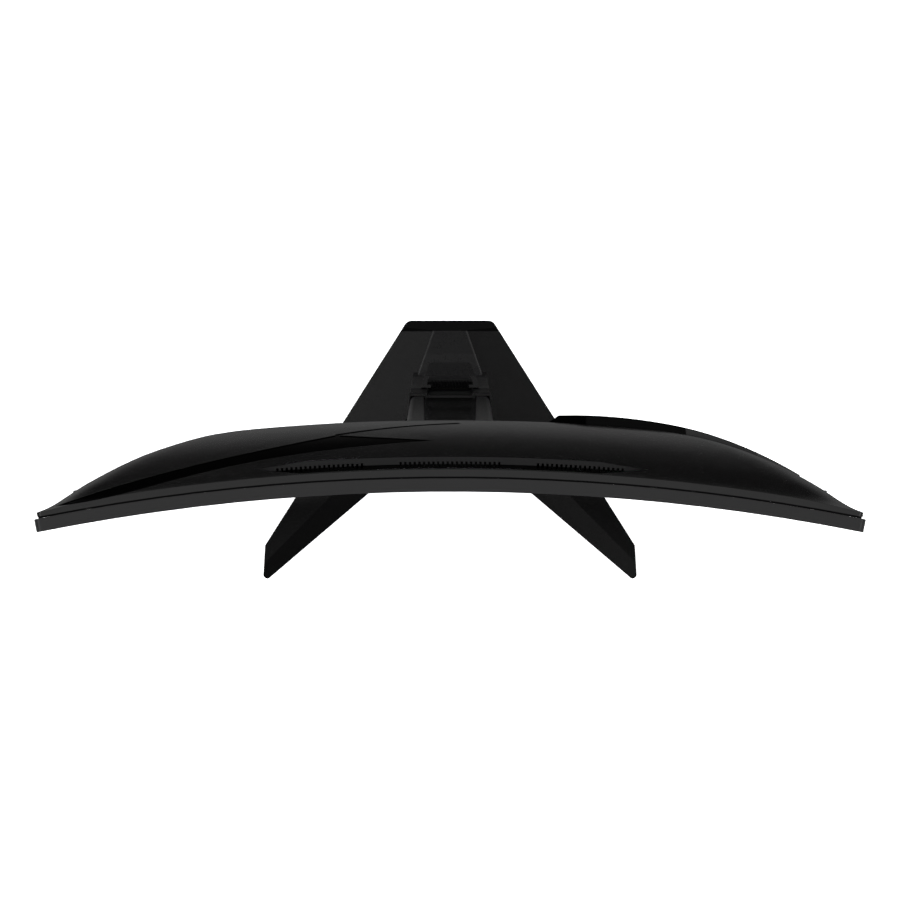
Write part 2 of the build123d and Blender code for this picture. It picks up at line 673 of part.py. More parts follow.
def bracket_screws():
    """Four screws from the hinge plate into the steel plate."""
    screws = []
    for x, z in HINGE_SCREWS:
        head = rod(Pos(x, POCKET_Y + BRACKET_T, z), 4.0, 2.0)
        cross = block((x - 2.2, x + 2.2), (POCKET_Y + BRACKET_T + 1, 0), (z - 0.5, z + 0.5))
        cross += block((x - 0.5, x + 0.5), (POCKET_Y + BRACKET_T + 1, 0), (z - 2.2, z + 2.2))
        shank = rod(Pos(x, PLATE_Y - 2, z), 1.9, POCKET_Y + BRACKET_T - PLATE_Y + 2)
        screws.append(head + shank - cross)
    return screws


def release_button():
    """Sliding catch in the hinge plate that frees the stand from the head."""
    y = POCKET_Y
    pad = block((-7.5, 7.5), (y + 0.4, y + 6.4), (MID_Z - 35, MID_Z - 27))
    for i in range(4):
        z = MID_Z - 33.6 + 1.8 * i
        pad -= block((-8, 8), (y + 5.8, y + 7), (z, z + 0.8))
    return pad


def slider():
    """Inner bar of the neck, with the round hinge head on top."""
    bar = block((-SLIDER_HALF_W, SLIDER_HALF_W), (-SLIDER_T / 2, SLIDER_T / 2), (SLIDER_LOW, SLIDER_TOP))
    bar -= block((-SLIDER_HALF_W + 3, SLIDER_HALF_W - 3), (-SLIDER_T / 2 + 2.5, 20), (SLIDER_LOW - 1, SLIDER_TOP - 24))
    head_stem = block((-HEAD_HALF_X, HEAD_HALF_X), (-SLIDER_T / 2, SLIDER_T / 2), (SLIDER_TOP - 6, HINGE_UP))
    head_stem += block((-HEAD_HALF_X, HEAD_HALF_X), (0, HINGE_OFF + 6), (SLEEVE_TOP + 46.5, HINGE_UP))
    head = Pos(0, HINGE_OFF, HINGE_UP) * Rot(0, 90, 0) * Cylinder(11, 2 * HEAD_HALF_X)
    whole = bar + head_stem + head
    whole -= Pos(0, HINGE_OFF, HINGE_UP) * Rot(0, 90, 0) * Cylinder(HINGE_R, 40)
    return NECK * whole


def slider_cover():
    """Plastic cover that closes the inner bar's open rear side."""
    x, low = SLIDER_HALF_W - 3.2, SLEEVE_TOP - 46
    return neck_block((-x, x), (SLIDER_T / 2 - 1.8, SLIDER_T / 2), (low, SLIDER_TOP - 24.2))


def glide_pads():
    """Slippery pads on the inner bar's flanks."""
    pads = []
    for z in (SLIDER_LOW + 1, SLIDER_LOW + 35):
        for x in (-1, 1):
            pads.append(neck_block(sorted((x * SLIDER_HALF_W, x * (SLIDER_HALF_W + 3.2))), (-5.2, 5), (z, z + 26)))
    return pads


def hinge_shaft():
    """Steel shaft, held in the slider's head, on which the ears turn."""
    shaft = RAD * Cylinder(HINGE_R, 58)
    flats = block((24, 30), (HINGE_Y + 3.0, HINGE_Y + 6), (HINGE_Z - 6, HINGE_Z + 6))
    return shaft - flats - mirror(flats, Plane.YZ)


def hinge_washers():
    """Friction washers each side of each ear."""
    rings = []
    for x0, x1 in ((HEAD_HALF_X, EAR_X[0] - 0.35), (EAR_X[1] + 0.35, EAR_X[1] + 1.75)):
        ring = Cylinder(9, x1 - x0) - Cylinder(HINGE_R, 5)
        rings += mirrored(Location(((x0 + x1) / 2, HINGE_Y, HINGE_Z), (0, 90, 0)) * ring)
    return rings


NUT_X = EAR_X[1] + 1.75


def hinge_nuts():
    """Nuts that load the friction washers."""
    nut = extrude(RegularPolygon(7.0, 6), 2.3, both=True) - Cylinder(HINGE_R, 9)
    return mirrored(Location((NUT_X + 2.3, HINGE_Y, HINGE_Z), (0, 90, 0)) * nut)


def hinge_caps():
    """Plastic caps over the shaft's ends."""
    x0, x1 = NUT_X + 4.6, 31.4
    cap = Location(((x0 + x1) / 2, HINGE_Y, HINGE_Z), (0, 90, 0)) * Cylinder(10.5, x1 - x0)
    cap = fillet(cap.edges().filter_by(GeomType.CIRCLE).sort_by(Axis.X)[-1], 1.5)
    return mirrored(cap - RAD * Cylinder(HINGE_R, 58))


def sleeve_outline(inset=0.0, low=SLEEVE_LOW, top=SLEEVE_TOP):
    """Tapered front outline of the outer neck, in the neck's frame."""
    def half(z):
        share = (z - SLEEVE_LOW) / (SLEEVE_TOP - SLEEVE_LOW)
        return SLEEVE_LOW_HALF + (SLEEVE_TOP_HALF - SLEEVE_LOW_HALF) * share - inset

    return [(-half(low), low), (half(low), low), (half(top), top), (-half(top), top)]


def sleeve():
    """Outer neck cover: tapered tube with a broad shallow channel down its back."""
    body = prism_y(sleeve_outline(), -SLEEVE_T / 2, SLEEVE_T / 2)
    long_edges = [e for e in body.edges() if abs(e.tangent_at(0.5).Z) > 0.9]
    body = fillet(long_edges, 5.0)
    body -= prism_y(sleeve_outline(2.4, SLEEVE_LOW - 1, SLEEVE_TOP - 2.2), -SLEEVE_T / 2 + 2.2, SLEEVE_T / 2 - 4.6)
    body -= block((-SLIDER_HALF_W - 0.8, SLIDER_HALF_W + 0.8), (-SLIDER_T / 2 - 0.7, SLIDER_T / 2 + 0.7),
                  (SLEEVE_TOP - 3, SLEEVE_TOP + 1))
    channel = [(-22.5, SLEEVE_LOW - 1), (22.5, SLEEVE_LOW - 1), (22.0, SLEEVE_TOP + 1), (-22.0, SLEEVE_TOP + 1)]
    body -= prism_y(channel, SLEEVE_T / 2 - 3.0, SLEEVE_T)
    return NECK * body


def back_panel():
    """Gloss panel set into the neck's rear channel."""
    outline = [(-22.0, SLEEVE_LOW + 4), (22.0, SLEEVE_LOW + 4), (21.6, SLEEVE_TOP - 0.6), (-21.6, SLEEVE_TOP - 0.6)]
    return NECK * prism_y(outline, SLEEVE_T / 2 - 3.0, SLEEVE_T / 2 - 1.4)


def guide_rails():
    """Steel channels that guide the inner bar inside the outer neck."""
    rail = block((SLIDER_HALF_W + 1.9, SLIDER_HALF_W + 5.4), (-7.5, 7.0), (60, SLEEVE_TOP - 3.4))
    rail -= block((SLIDER_HALF_W + 1, SLIDER_HALF_W + 3.6), (-5.6, 5.4), (59, SLEEVE_TOP))
    return [NECK * one for one in mirrored(rail)]


STRUT_LOW = 34.0
STRUT_TOP = 205.0


def gas_cylinder():
    """Lower half of the lift strut, standing in the neck's foot."""
    tube = upright(0, 0, STRUT_LOW, STRUT_TOP, 3.4) - upright(0, 0, STRUT_LOW + 4, STRUT_TOP + 1, 2.0)
    return NECK * tube


def gas_rod():
    """Strut rod that pushes the inner bar up."""
    return NECK * upright(0, 0, 135, SLIDER_TOP - 24.1, 1.6)


# ---------------------------------------------------------------- foot
SHROUD_SIDE = [(19.0, 8.0), (19.2, 93.0), (47.5, 93.0), (49.0, 80.0), (52.6, 68.0), (57.0, 58.0), (62.6, 47.0),
               (66.0, 38.0), (66.0, 8.0)]
SHROUD_TOP_HALF = 35.0
SHROUD_LOW_HALF = 28.6


def shroud_body(inset=0.0):
    """Flared lower neck."""
    low, high = 6.0 - inset, 93.0 - inset
    front = [(-SHROUD_LOW_HALF + inset, low), (SHROUD_LOW_HALF - inset, low),
             (SHROUD_TOP_HALF - inset, high), (-SHROUD_TOP_HALF + inset, high)]
    body = prism_x(SHROUD_SIDE, 60) & prism_y(front, 15 + inset, 120)
    for shift in (-inset, inset):
        body &= Pos(0, shift, 0) * prism_x(SHROUD_SIDE, 60)
    return body


def neck_shroud(roof):
    """Foot cover of the neck, hollow, with a ribbed hollow at the rear and a seat for the outer neck."""
    body = shroud_body() - shroud_body(2.6)
    seat = NECK * prism_y(sleeve_outline(-0.15, SLEEVE_LOW, SLEEVE_LOW + 30), -SLEEVE_T / 2 - 0.15, SLEEVE_T / 2 + 0.15)
    niche = prism_x([(46.0, 84.0), (60, 84.0), (70, 50), (56.5, 50), (51, 62), (47.5, 75)], 19.5)
    lining = prism_x([(43.4, 86.4), (60, 86.4), (70, 47.6), (54.2, 47.6), (48.6, 61), (45.0, 74)], 21.9)
    body += lining & shroud_body()
    notch = prism_z([(-19.6, 43.0), (19.6, 43.0), (24.4, 52.6), (-24.4, 52.6)], 82, 95)
    return body - niche - seat - roof - notch


def rib_pad():
    """Ribbed rubber lining low in the niche."""
    pad = prism_x([(56.6, 50.1), (58.2, 50.1), (52.8, 61.8), (51.2, 61.8)], 18.5)
    rib = prism_x([(56.6, 50.1), (59.4, 50.1), (54.0, 61.8), (51.2, 61.8)], 0.6)
    for i in range(13):
        pad += Pos(-15 + 2.5 * i, 0, 0) * rib
    return pad


def cable_guide(shroud):
    """Loop behind the neck that keeps the cables together."""
    outer = [(-17.9, 74.8), (17.9, 74.8), (24.7, 53.2), (-24.7, 53.2)]
    face = make_face(Polyline(*outer, close=True))
    rear_corners = [v for v in face.vertices() if v.Y > 70]
    face = fillet(rear_corners, 3.0)
    face -= make_face(Polyline((-17.6, 62.8), (17.6, 62.8), (20.4, 55.6), (-20.4, 55.6), close=True))
    face -= make_face(Polyline((-16.2, 56), (16.2, 56), (16.2, 50), (-16.2, 50), close=True))
    loop = Pos(0, 0, 56) * extrude(face, 18)
    slope = prism_x([(50, 72.0), (63, 69.5), (76, 63.0), (76, 90), (50, 90)], 40)
    under = prism_x([(50, 50), (76, 50), (76, 57.0), (62, 60.0), (50, 61.5)], 40)
    return loop - slope - under - shroud


BASE_PLAN = [(36.3, BASE_REAR_Y), (157.5, -81.2), (159.1, -107.6), (155.4, BASE_TIP_Y)]
BASE_NOTCH_Y = 22.1
RIDGE = [(29.0, 34.7, 22.0), (157.4, -95.4, 10.0)]
OUTER_SIDE = (36.3, 110.3, 13.0)
INNER_SIDE = (93.7, -57.6, 5.0)
THUMB_Y = 44.0
THUMB_GAP_R = 5.4
PADS = [(145, -86, -45, 20), (86, -18, -45, 20), (43, 80, 0, 13)]
BASE_SCREWS = [(118, -50), (66, 14), (30, 94)]


def base_outline(inset):
    """Plan of the foot: a V with a cut rear end."""
    left = [(-x, y) for x, y in BASE_PLAN]
    face = make_face(Polyline(*BASE_PLAN, (0, BASE_NOTCH_Y), *reversed(left), close=True))
    face = fillet([v for v in face.vertices() if abs(v.X) < 1], 20)
    face = fillet([v for v in face.vertices() if v.Y > 100], 7)
    face = fillet([v for v in face.vertices() if v.Y < -105], 2.5)
    return offset(face, -inset, kind=Kind.INTERSECTION) if inset else face


def under_plane(body, origin, normal, drop):
    """The part of the body below a sloping plane lowered by drop."""
    up = Vector(*normal).normalized()
    return split(body, Plane(origin=Vector(*origin) - up * drop, z_dir=up), keep=Keep.BOTTOM)


def base_body(inset=0.0, drop=0.0, low=BASE_LIFT):
    """Whole foot under its sloping roof."""
    whole = Pos(0, 0, low) * extrude(base_outline(inset), 40)
    half = whole & block((0, 200), (-150, 150), (-10, 60))
    ridge = Vector(*RIDGE[1]) - Vector(*RIDGE[0])
    for third in (OUTER_SIDE, INNER_SIDE):
        normal = ridge.cross(Vector(*third) - Vector(*RIDGE[0]))
        normal = normal if normal.Z > 0 else normal * -1
        half = under_plane(half, RIDGE[0], normal, drop)
    half = under_plane(half, (0, BASE_REAR_Y, BASE_LIFT), (0, 20.2, 10.0), drop)
    return half + mirror(half, Plane.YZ)


def base_cover(solid_base):
    """Moulded top of the foot, hollow underneath, with screw bosses and the neck's opening."""
    shell = solid_base - base_body(2.6, 2.6, BASE_LIFT - 1)
    for x, y in BASE_SCREWS:
        for boss in mirrored(upright(x, y, PAD_H + 3.0, 40, 3.2)):
            shell += boss & solid_base
    for x, y in BASE_SCREWS:
        for hole in mirrored(upright(x, y, 0, PAD_H + 5.0, 1.3)):
            shell -= hole
    return shell - block((-24.5, 24.5), (25, 60.5), (0, 40))


def base_plate():
    """Steel V under the cover that gives the foot its weight."""
    plate = base_body(4.5, 3.2, PAD_H) & block((-200, 200), (-120, 120), (PAD_H, PAD_H + 3.0))
    for x, y in BASE_SCREWS:
        for hole in mirrored(upright(x, y, 0, 10, 1.3)):
            plate -= hole
    return plate - upright(0, THUMB_Y, 0, 20, THUMB_GAP_R)


def pads():
    """Rubber pads between the steel and the desk."""
    made = []
    for x, y, turn, length in PADS:
        pad = Pos(x, y, PAD_H / 2) * Rot(0, 0, turn) * extrude(SlotOverall(length, 9), PAD_H / 2, both=True)
        made += mirrored(pad)
    return made


SPINE_TOP = [(60.5, 48.0), (66.4, 41.0), (82.0, 31.0), (101.5, 22.2)]
SPINE_PLAN = [(-29.2, 60.0), (29.2, 60.0), (14.7, 101.5), (-14.7, 101.5)]


def foot_spine(roof, shroud):
    """Ramp behind the neck, over the middle of the foot, with bevelled sides."""
    body = []
    for (y0, z0), (y1, z1) in zip(SPINE_TOP, SPINE_TOP[1:]):
        step = prism_x([(y0, 6), (y0, z0), (y1, z1), (y1, 6)], 40) & prism_z(SPINE_PLAN, 0, 60)
        sides = [e for e in step.edges() if e.center().Z > 20 and abs(e.tangent_at(0.5).Y) > 0.4]
        body.append(chamfer(sides, 1.3))
    return (body[0] + body[1:]) - roof - shroud


def column_core():
    """Steel upright that ties the neck to the base plate."""
    top = PAD_H + 3.0
    core = block((-22, 22), (27, 60), (top, top + 3.0))
    core += block((-22, 22), (38, 48), (top + 3.0, 30)) - block((-16, 16), (30, 60), (top + 3.5, 22))
    core += neck_block((-27.3, 27.3), (-7, 7), (28, STRUT_LOW - 0.1))
    for post in mirrored(neck_block((25.9, 27.3), (-7, 7), (30, 92))):
        core += post
    return core - upright(0, THUMB_Y, 0, 20, THUMB_GAP_R)


def thumb_screw():
    """Large coin screw under the foot that holds the neck's steel."""
    screw = upright(0, THUMB_Y, 0.3, 1.6, 12) + upright(0, THUMB_Y, 1.6, 20, 5.0)
    return screw - block((-9, 9), (THUMB_Y - 1.1, THUMB_Y + 1.1), (0, 1.1))


def base_screws():
    """Screws that hold the steel plate up into the cover."""
    screws = []
    for x, y in BASE_SCREWS:
        screw = upright(x, y, PAD_H - 1.2, PAD_H, 3.2) + upright(x, y, PAD_H, PAD_H + 4.5, 1.3)
        cross = block((x - 2, x + 2), (y - 0.4, y + 0.4), (0, PAD_H - 0.5))
        cross += block((x - 0.4, x + 0.4), (y - 2, y + 2), (0, PAD_H - 0.5))
        screws += mirrored(screw - cross)
    return screws


# ---------------------------------------------------------------- build
def save_head():
    """Writes the pieces of the head."""
    outer = rear_body(0.0, BEZEL_D + GROOVE_D)
    inner = rear_body(WALL, BEZEL_D)
    skin = rear_body(0.7, BEZEL_D + GROOVE_D)
    deep = rear_body(1.7, BEZEL_D)
    cover = rear_cover(outer, inner)
    cover -= (wedge_prism() & outer) - deep
    cover -= (seam_prism() & outer) - skin
    save("rear_cover", cover)
    save("accent_wedge", accent_wedge(skin, deep))
    gloss_fin, dull_end = wing(outer)
    save("accent_fin", gloss_fin)
    save("wing_end", dull_end)
    save("vent_grille", vent_grille())
    save("rear_cover_screws", cover_screws())
    save("lock_slot_plate", lock_plate())
    save("front_bezel", front_bezel())
    save("chin_trim", chin())
    save("mid_frame", mid_frame())
    save("lcd_cell", lcd_cell())
    save("optical_films", light_sheet(3.5, 4.4))
    save("light_guide_plate", light_sheet(4.6, 8.6))
    save("reflector_sheet", light_sheet(8.8, 9.2))
    save("led_bar", led_bar())
    save("backlight_chassis", backlight_chassis())
    save("power_light_pipe", power_light())
    save("mount_plate", mount_plate())
    save("main_board", board((-200, -82), (232, 338), -0.6))
    save("power_board", power_board())
    save("tcon_board", tcon_board())
    save("shield_can", shield_can())
    save("io_bracket", io_bracket())
    save("data_sockets", [socket_shell(x, w, h) for x, w, h in SOCKETS.values()])
    save("audio_jack", round_socket(JACK_X, 3.5, 1.8, 0))
    save("dc_inlet", round_socket(DC_X, 5.0, 3.2, 1.0))
    save("loudspeakers", [speaker(-1), speaker(1)])


def save_controls():
    """Writes the keys, the stick and their board."""
    save("key_board", key_board())
    save("power_button", power_key())
    for i, z in enumerate(MENU_Z):
        save(f"menu_key_{i + 1}", menu_key(z))
    save("joystick_housing", stick_housing())
    save("joystick_ring", stick_ring())
    save("joystick_spindle", stick_spindle())
    save("joystick_cap", stick_cap())


def save_stand():
    """Writes the hinge, the neck and the foot."""
    save("tilt_bracket", tilt_bracket())
    save("bracket_screws", bracket_screws())
    save("release_button", release_button())
    save("slider", slider())
    save("slider_cover", slider_cover())
    save("glide_pads", glide_pads())
    save("hinge_shaft", hinge_shaft())
    save("hinge_nuts_and_washers", hinge_washers() + hinge_nuts())
    save("hinge_caps", hinge_caps())
    save("neck_sleeve", sleeve())
    save("neck_back_panel", back_panel())
    save("guide_rails", guide_rails())
    save("gas_strut_cylinder", gas_cylinder())
    save("gas_strut_rod", gas_rod())
    roof = base_body()
    trunk = shroud_body()
    save("neck_shroud", neck_shroud(roof))
    save("shroud_rib_pad", rib_pad())
    save("cable_guide", cable_guide(trunk))
    save("base_cover", base_cover(roof))
    save("base_plate", base_plate())
    save("foot_spine", foot_spine(roof, trunk))
    save("rubber_feet", pads())
    save("column_core", column_core())
    save("thumb_screw", thumb_screw())
    save("base_screws", base_screws())


def main():
    os.makedirs("parts", exist_ok=True)
    save_stand()
    save_controls()
    save_head()


if __name__ == "__main__":
    main()
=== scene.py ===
from math import radians

import bpy
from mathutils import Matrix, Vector

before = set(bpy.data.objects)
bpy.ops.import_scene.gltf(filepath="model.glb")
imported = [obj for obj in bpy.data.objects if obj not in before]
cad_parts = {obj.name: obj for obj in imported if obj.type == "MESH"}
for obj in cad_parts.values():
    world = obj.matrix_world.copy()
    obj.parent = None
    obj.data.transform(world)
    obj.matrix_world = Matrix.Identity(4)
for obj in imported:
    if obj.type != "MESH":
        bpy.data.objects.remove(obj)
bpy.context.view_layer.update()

MM = 0.001                     # metres in a millimetre

# ---------------------------------------------------------------- look of the whole scene
VIEW_WIDTH = 0.7668            # metres across the picture
FLOOR_COLOUR = (0.90, 0.90, 0.905, 1)
BACKDROP = (0.93, 0.935, 0.94, 1)
# brightness of what the surfaces mirror, by height: straight down (0), level (0.5), overhead (1)
SKY = [(0.00, 0.10), (0.07, 0.26), (0.17, 0.34), (0.26, 0.20), (0.36, 0.03), (0.50, 0.01), (0.66, 0.02),
       (0.82, 0.08), (0.90, 0.22), (0.96, 0.70), (1.00, 1.05)]
SKY_TILT = 8                   # degrees that this sky leans toward the left
SIDE_GLOW = 0.60               # pale floor and walls to the left and right, below eye level
SIDE_SPAN = (0.30, 0.75)       # how far to the side that glow starts, and where it is full
SIDE_HEIGHTS = (0.60, 0.42)    # height where it starts, and below which it is full
FLOOR_GLOW = 0.72              # keeps the floor pale where the head shades it
FLOOR_SIZE = 14
CAMERA_HEIGHT = 3.0
AIM = (0, 0, 0.25)             # middle of the monitor, where the lights point
# name, place, aim, width, height, watts, whether surfaces mirror it
LIGHTS = [
    ("overhead", (0, 0, 4.2), (0, 0, 0), 4.5, 4.5, 90, False),
    ("fill_rear", (-0.8, 3.2, 0.9), AIM, 2.6, 1.2, 110, False),
    ("fill_left", (-3.2, 0.4, 1.0), AIM, 1.6, 1.2, 70, False),
    ("fill_right", (3.2, 0.4, 1.0), AIM, 1.6, 1.2, 60, False),
    ("fill_front", (0.6, -3.2, 1.0), AIM, 2.4, 1.2, 90, False),
    ("left_box", (-2.2, 0.2, 2.6), AIM, 1.2, 1.2, 26, True),
    ("right_box", (2.2, 0.0, 2.6), AIM, 1.2, 1.2, 22, True),
    ("rear_box", (-1.4, 3.0, 1.3), AIM, 2.0, 0.9, 9, True),
    ("front_box", (-1.0, -2.8, 1.5), AIM, 1.5, 0.9, 10, True),
]

BEVEL_SAMPLES = 4
PAINTED_SHADE_SHARE = 0.04              # share of the colour left in the painted shade zone, where the texture is also coarse and dull
MATT_ROUGHNESS = 0.80          # roughness that the coarse texture adds


# ---------------------------------------------------------------- node helpers
class Nodes:
    """Small wrapper that keeps node code short: each call adds a node and returns it or its output."""

    def __init__(self, tree):
        self.tree = tree

    def add(self, kind, inputs=None, **settings):
        node = self.tree.nodes.new(kind)
        for key, value in settings.items():
            setattr(node, key, value)
        for key, value in (inputs or {}).items():
            self.put(node.inputs[key], value)
        return node

    def put(self, socket, value):
        if isinstance(value, bpy.types.NodeSocket):
            self.tree.links.new(value, socket)
        else:
            socket.default_value = value

    def span(self, value, low, high, from_low=0.3, from_high=0.7, kind="LINEAR"):
        """The value spread from one range to another."""
        limits = {"Value": value, "From Min": from_low, "From Max": from_high, "To Min": low, "To Max": high}
        return self.add("ShaderNodeMapRange", limits, interpolation_type=kind).outputs[0]

    def math(self, operation, *values):
        return self.add("ShaderNodeMath", dict(enumerate(values)), operation=operation).outputs[0]

    def mix(self, share, first, second):
        """Colour between the first (share 0) and the second (share 1)."""
        node = self.add("ShaderNodeMix", data_type="RGBA")
        factor, colour_a, colour_b = node.inputs[0], node.inputs[6], node.inputs[7]
        self.put(factor, share)
        self.put(colour_a, first)
        self.put(colour_b, second)
        return node.outputs[2]


class Shader(Nodes):
    """A new material with a Principled shader."""

    def __init__(self, name):
        self.material = bpy.data.materials.new(name)
        self.material.use_nodes = True
        super().__init__(self.material.node_tree)
        self.bsdf = self.tree.nodes["Principled BSDF"]
        self.place = self.add("ShaderNodeTexCoord").outputs["Object"]

    def noise(self, size_mm, detail=3.0, rough=0.55, stretch=None):
        """Noise whose features are about size_mm across."""
        place = self.place
        if stretch:
            place = self.add("ShaderNodeMapping", {"Vector": place, "Scale": stretch}).outputs[0]
        settings = {"Vector": place, "Scale": 1 / (size_mm * MM), "Detail": detail, "Roughness": rough}
        return self.add("ShaderNodeTexNoise", settings).outputs[0]

    def rounded(self, radius_mm):
        """Normal that rounds hard edges over the given radius."""
        return self.add("ShaderNodeBevel", {"Radius": radius_mm * MM}, samples=BEVEL_SAMPLES).outputs[0]

    def edge(self, normal):
        """How near a hard edge a point is, from 0 on a flat to 1 on the edge."""
        true = self.add("ShaderNodeNewGeometry").outputs["True Normal"]
        dot = self.add("ShaderNodeVectorMath", {0: normal, 1: true}, operation="DOT_PRODUCT").outputs["Value"]
        return self.span(dot, 1.0, 0.0, 0.72, 0.995)

    def bump(self, height, depth_mm, strength, normal=None):
        settings = {"Height": height, "Distance": depth_mm * MM, "Strength": strength}
        if normal is not None:
            settings["Normal"] = normal
        return self.add("ShaderNodeBump", settings).outputs[0]


def grey(value, tint=(1.0, 1.0, 1.02)):
    return (value * tint[0], value * tint[1], value * tint[2], 1)


def scaled(colour, by):
    return (colour[0] * by, colour[1] * by, colour[2] * by, 1)


# ---------------------------------------------------------------- materials
def moulded(name, colour, rough, grain_mm=0.45, grain=0.5, uneven=0.10, wear=0.25, specular=0.5,
            painted_shade_zone=None):
    """Injection-moulded plastic: spark-eroded grain, faint handling marks and polished edges.

    The last argument is (axis, start, end): as that coordinate, in metres, goes from start to end, the
    colour darkens into painted shade and the texture turns coarse and dull.
    """
    s = Shader(name)
    cloud = s.noise(42, 4)
    smudge = s.noise(11, 5, 0.6)
    speck = s.noise(grain_mm, 2, 0.5)
    edges = s.rounded(0.45)
    worn = s.math("MULTIPLY", s.edge(edges), s.span(s.noise(3.5, 4), 0.35, 1.0))
    body = s.mix(s.span(cloud, 0.0, 1.0), scaled(colour, 1 - uneven), scaled(colour, 1 + uneven))
    body = s.mix(s.span(speck, 0.0, 0.30), body, scaled(colour, 1.5))
    body = s.mix(s.math("MULTIPLY", worn, wear), body, grey(0.05))
    dull = s.span(smudge, rough - 0.015, rough + 0.02)
    dull = s.math("ADD", dull, s.span(speck, -0.02, 0.02))
    dull = s.math("SUBTRACT", dull, s.math("MULTIPLY", worn, 0.10))
    # painted shade: along the given coordinate the colour darkens to a small share, standing in for the shade
    # in a recess or behind a step; the roughness there is raised too
    if painted_shade_zone is not None:
        axis, start, end = painted_shade_zone
        along = s.add("ShaderNodeSeparateXYZ", {0: s.place}).outputs[axis]
        shade = s.span(along, 0.0, 1.0, start, end)
        body = s.mix(shade, body, scaled(colour, PAINTED_SHADE_SHARE))
        dull = s.math("ADD", dull, s.math("MULTIPLY", shade, MATT_ROUGHNESS))
    s.put(s.bsdf.inputs["Base Color"], body)
    s.put(s.bsdf.inputs["Roughness"], dull)
    s.put(s.bsdf.inputs["Normal"], s.bump(speck, 0.05 * grain_mm / 0.45, grain, edges))
    s.bsdf.inputs["Specular IOR Level"].default_value = specular
    return s.material


def gloss(name, colour, rough=0.06, wear=0.2, specular=0.5):
    """Piano-black plastic: clear depth, faint orange peel, hairline wipe marks and a little dust."""
    s = Shader(name)
    peel = s.noise(5.5, 2, 0.4)
    wipes = s.noise(0.9, 3, 0.6, stretch=(0.06, 1.0, 1.0))
    wipes_across = s.noise(1.1, 3, 0.6, stretch=(1.0, 1.0, 0.07))
    dust = s.noise(0.7, 2, 0.7)
    film = s.noise(26, 5, 0.6)
    edges = s.rounded(0.5)
    worn = s.edge(edges)
    body = s.mix(s.span(dust, 0.0, 0.5, 0.66, 0.80), colour, scaled(colour, 5.0))
    s.put(s.bsdf.inputs["Base Color"], s.mix(s.math("MULTIPLY", worn, wear), body, scaled(colour, 4.0)))
    marks = s.math("MAXIMUM", s.span(wipes, 0.0, 0.06, 0.55, 0.75),
                   s.span(wipes_across, 0.0, 0.05, 0.57, 0.75))
    haze = s.math("ADD", s.span(film, rough - 0.02, rough + 0.05), marks)
    s.put(s.bsdf.inputs["Roughness"], haze)
    s.put(s.bsdf.inputs["Normal"], s.bump(peel, 0.02, 0.25, edges))
    s.bsdf.inputs["Specular IOR Level"].default_value = specular
    return s.material


def screen_glass(name):
    """Switched-off panel behind an anti-glare film: near black, softly reflecting, faintly sparkling."""
    s = Shader(name)
    sparkle = s.noise(0.16, 1, 0.5)
    film = s.noise(60, 4, 0.6)
    dust = s.noise(1.6, 2, 0.8)
    deep, hazy = grey(0.0065, (0.95, 1.0, 1.12)), grey(0.0095, (1.0, 1.0, 1.1))
    body = s.mix(s.span(film, 0.0, 1.0), deep, hazy)
    s.put(s.bsdf.inputs["Base Color"], s.mix(s.span(dust, 0.0, 0.35, 0.74, 0.84), body, grey(0.05)))
    s.put(s.bsdf.inputs["Roughness"], s.math("ADD", s.span(film, 0.20, 0.25), s.span(sparkle, -0.03, 0.03)))
    s.put(s.bsdf.inputs["Normal"], s.bump(sparkle, 0.01, 0.18))
    s.bsdf.inputs["Specular IOR Level"].default_value = 0.5
    return s.material


def steel(name, colour, rough=0.3, along=(1.0, 0.04, 0.04), spots=0.3, depth=0.4):
    """Plated or brushed steel: fine drawn lines, tarnish clouds and small dings."""
    s = Shader(name)
    lines = s.noise(0.35, 3, 0.6, stretch=along)
    cloud = s.noise(14, 5, 0.6)
    edges = s.rounded(0.25)
    dirt = s.span(s.noise(4, 4, 0.65), 0.0, spots, 0.52, 0.72)
    body = s.mix(s.span(cloud, 0.0, 1.0), scaled(colour, 0.82), scaled(colour, 1.08))
    s.put(s.bsdf.inputs["Base Color"], s.mix(dirt, body, scaled(colour, 0.45)))
    s.bsdf.inputs["Metallic"].default_value = 1.0
    s.put(s.bsdf.inputs["Roughness"], s.math("ADD", s.span(lines, rough - 0.07, rough + 0.09), dirt))
    s.put(s.bsdf.inputs["Normal"], s.bump(lines, 0.012, depth, edges))
    return s.material


def painted(name, colour, rough=0.42, wear=0.5):
    """Powder-coated steel: orange peel, and bare metal just showing on the edges."""
    s = Shader(name)
    peel = s.noise(0.8, 2, 0.45)
    cloud = s.noise(30, 4)
    edges = s.rounded(0.35)
    worn = s.math("MULTIPLY", s.edge(edges), s.span(s.noise(2.2, 4, 0.65), 0.0, 1.0, 0.42, 0.66))
    worn = s.math("MULTIPLY", worn, wear)
    body = s.mix(s.span(cloud, 0.0, 1.0), scaled(colour, 0.88), scaled(colour, 1.14))
    s.put(s.bsdf.inputs["Base Color"], s.mix(worn, body, grey(0.30)))
    s.put(s.bsdf.inputs["Metallic"], worn)
    s.put(s.bsdf.inputs["Roughness"], s.span(cloud, rough - 0.05, rough + 0.07))
    s.put(s.bsdf.inputs["Normal"], s.bump(peel, 0.05, 0.35, edges))
    return s.material


def rubber(name, colour, specular=0.3):
    """Moulded rubber: dull, dusty, with a fine pebble."""
    s = Shader(name)
    pebble = s.noise(0.6, 3, 0.6)
    dust = s.noise(7, 5, 0.7)
    body = s.mix(s.span(dust, 0.0, 0.6, 0.45, 0.75), colour, scaled(colour, 2.6))
    s.put(s.bsdf.inputs["Base Color"], body)
    s.put(s.bsdf.inputs["Roughness"], s.span(dust, 0.72, 0.92))
    s.put(s.bsdf.inputs["Normal"], s.bump(pebble, 0.06, 0.6, s.rounded(0.4)))
    s.bsdf.inputs["Specular IOR Level"].default_value = specular
    return s.material


